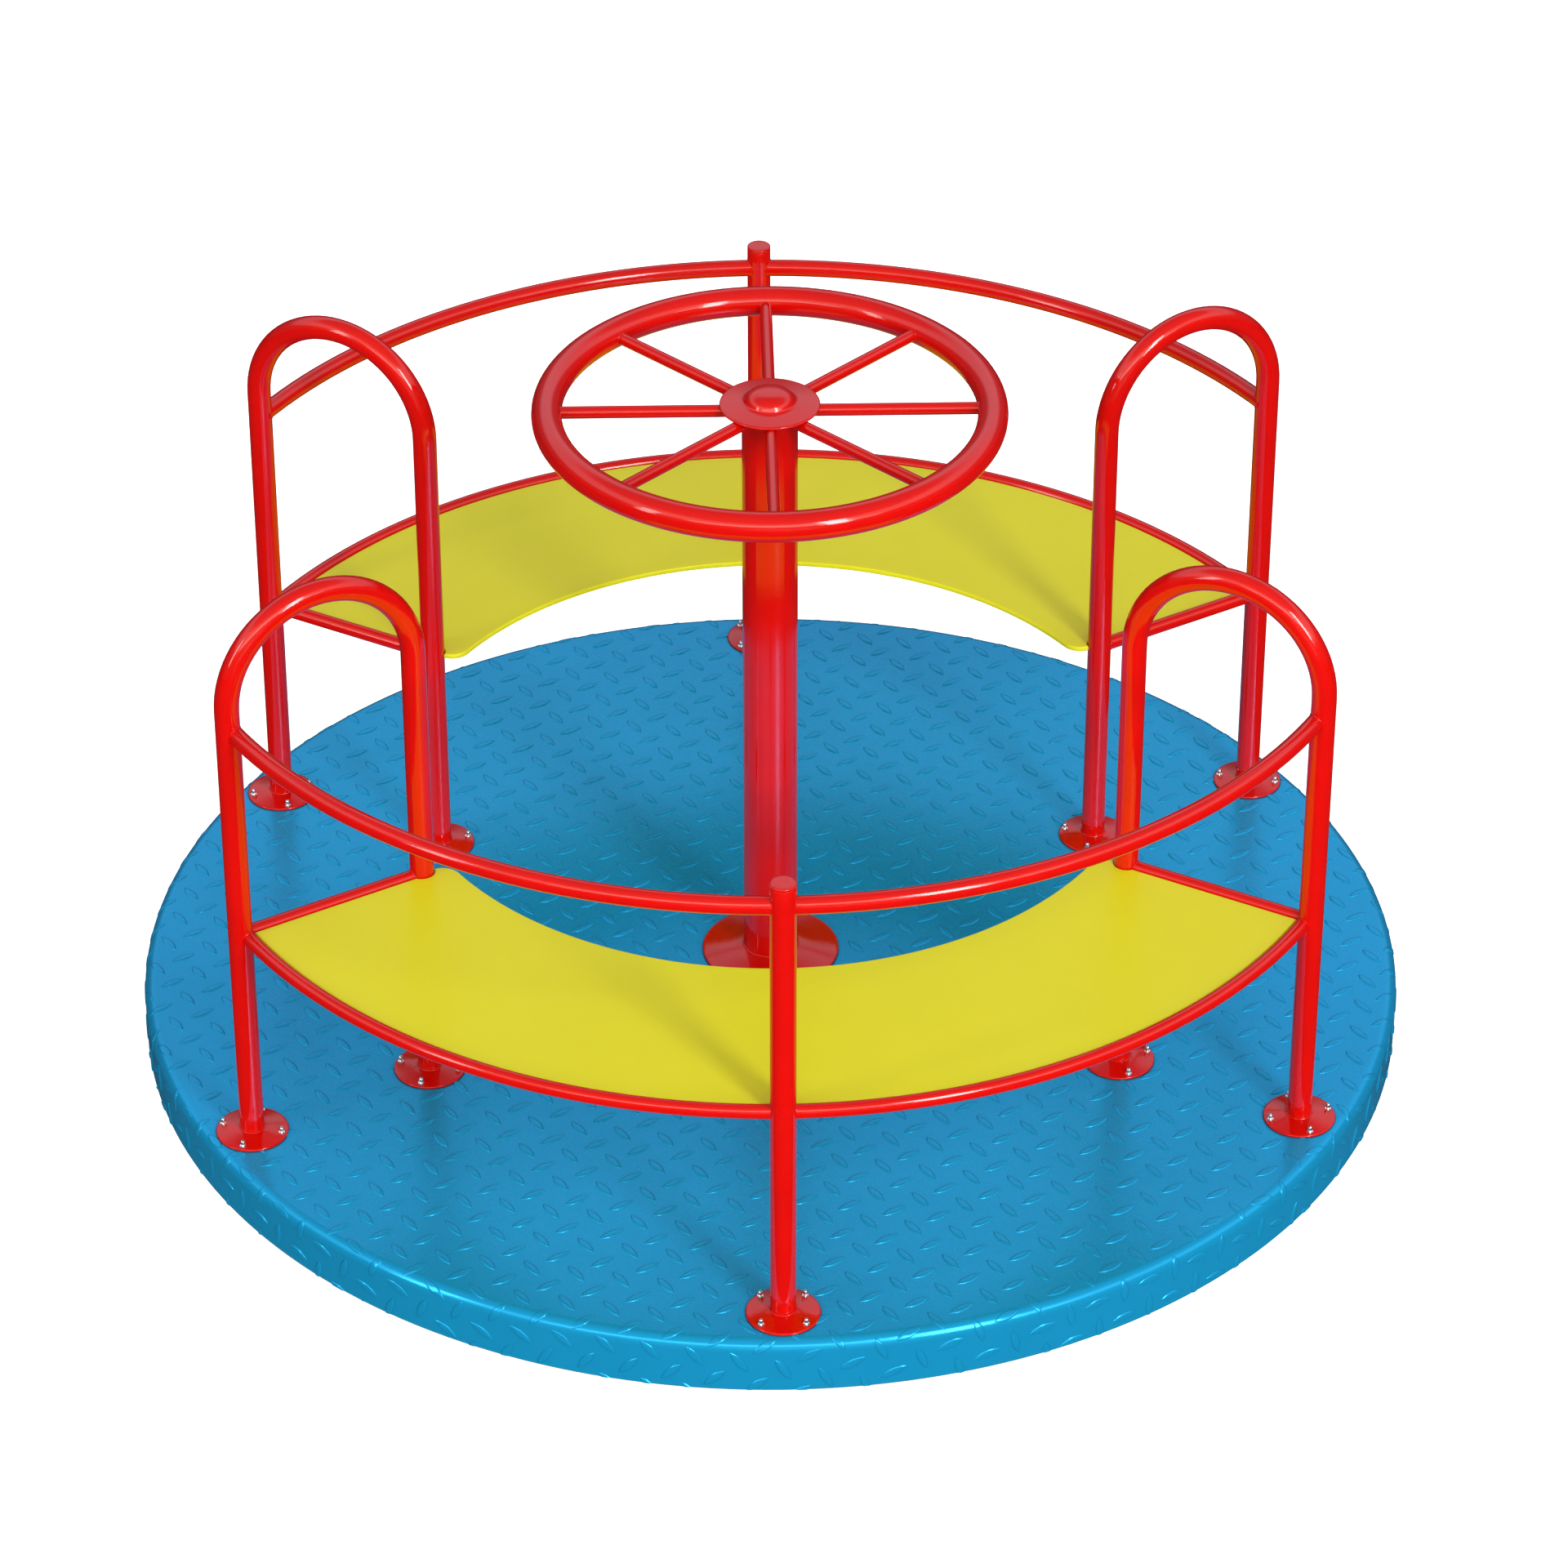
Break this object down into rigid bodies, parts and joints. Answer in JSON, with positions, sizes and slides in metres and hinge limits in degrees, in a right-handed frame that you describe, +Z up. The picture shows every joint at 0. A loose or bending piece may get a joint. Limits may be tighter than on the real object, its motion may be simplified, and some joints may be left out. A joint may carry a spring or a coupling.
{
  "type": "merry go round",
  "caption": "Playground merry-go-round: round treadplate platform with hoops, rails and curved bench seats turning about a fixed column with a hand wheel.",
  "frame": {"origin": "on the spin axis at the underside of the ground base plate", "axes": "+Z up along the spin axis; the two posts and seat centres stand on -Y (front) and +Y (back); the gaps between the seats face -X and +X"},
  "size_m": [1.8, 1.8, 1.0809],
  "materials": {
    "tube_red": "gloss red powder coat",
    "seat": "satin yellow powder coat",
    "deck": "gloss blue paint on treadplate",
    "fasteners": "bright zinc plated",
    "machined_steel": "ground and oiled",
    "frame_primer": "dark primer",
    "seal": "matt black"
  },
  "bodies": {
    "ground_axle": {"ground_base_plate": "frame_primer", "spindle": "machined_steel", "lower_bearing_cone": "machined_steel", "upper_bearing_cone": "machined_steel", "bearing_spacer": "machined_steel", "lock_washer": "fasteners", "bearing_lock_nut": "fasteners", "column_tube": "tube_red", "column_flange": "tube_red", "wheel_rim": "tube_red", "wheel_spokes": "tube_red", "wheel_hub_disc": "tube_red", "wheel_dome_cap": "tube_red"},
    "platform": {"deck_plate": "deck", "deck_underframe": "frame_primer", "hub_housing": "frame_primer", "lower_bearing_cup": "machined_steel", "upper_bearing_cup": "machined_steel", "lower_seal": "seal", "upper_seal": "seal", "front_post": "tube_red", "front_post_cap": "tube_red", "front_post_foot_flange": "tube_red", "front_post_stud_strip": "fasteners", "front_seat": "seat", "front_left_hoop": "tube_red", "front_left_inner_foot_flange": "tube_red", "front_left_outer_foot_flange": "tube_red", "front_left_stud_strip": "fasteners", "front_left_handrail": "tube_red", "front_left_seat_rail": "tube_red", "front_left_side_rail": "tube_red", "front_right_hoop": "tube_red", "front_right_inner_foot_flange": "tube_red", "front_right_outer_foot_flange": "tube_red", "front_right_stud_strip": "fasteners", "front_right_handrail": "tube_red", "front_right_seat_rail": "tube_red", "front_right_side_rail": "tube_red", "back_post": "tube_red", "back_post_cap": "tube_red", "back_post_foot_flange": "tube_red", "back_post_stud_strip": "fasteners", "back_seat": "seat", "back_left_hoop": "tube_red", "back_left_inner_foot_flange": "tube_red", "back_left_outer_foot_flange": "tube_red", "back_left_stud_strip": "fasteners", "back_left_handrail": "tube_red", "back_left_seat_rail": "tube_red", "back_left_side_rail": "tube_red", "back_right_hoop": "tube_red", "back_right_inner_foot_flange": "tube_red", "back_right_outer_foot_flange": "tube_red", "back_right_stud_strip": "fasteners", "back_right_handrail": "tube_red", "back_right_seat_rail": "tube_red", "back_right_side_rail": "tube_red"},
    "lower_cage": {"lower_bearing_cage": "machined_steel"},
    "upper_cage": {"upper_bearing_cage": "machined_steel"}
  },
  "joints": [
    {"name": "platform_spin", "type": "hinge", "parent": "ground_axle", "child": "platform", "pos_m": [0, 0, 0.1585], "axis": [0, 0, 1], "continuous": true},
    {"name": "lower_cage_spin", "type": "hinge", "parent": "ground_axle", "child": "lower_cage", "pos_m": [0, 0, 0.0473], "axis": [0, 0, 1], "continuous": true},
    {"name": "upper_cage_spin", "type": "hinge", "parent": "ground_axle", "child": "upper_cage", "pos_m": [0, 0, 0.1173], "axis": [0, 0, 1], "continuous": true}
  ],
  "couplings": [
    {"joint": "lower_cage_spin", "follows": "platform_spin", "ratio": 0.56},
    {"joint": "upper_cage_spin", "follows": "platform_spin", "ratio": 0.56}
  ]
}
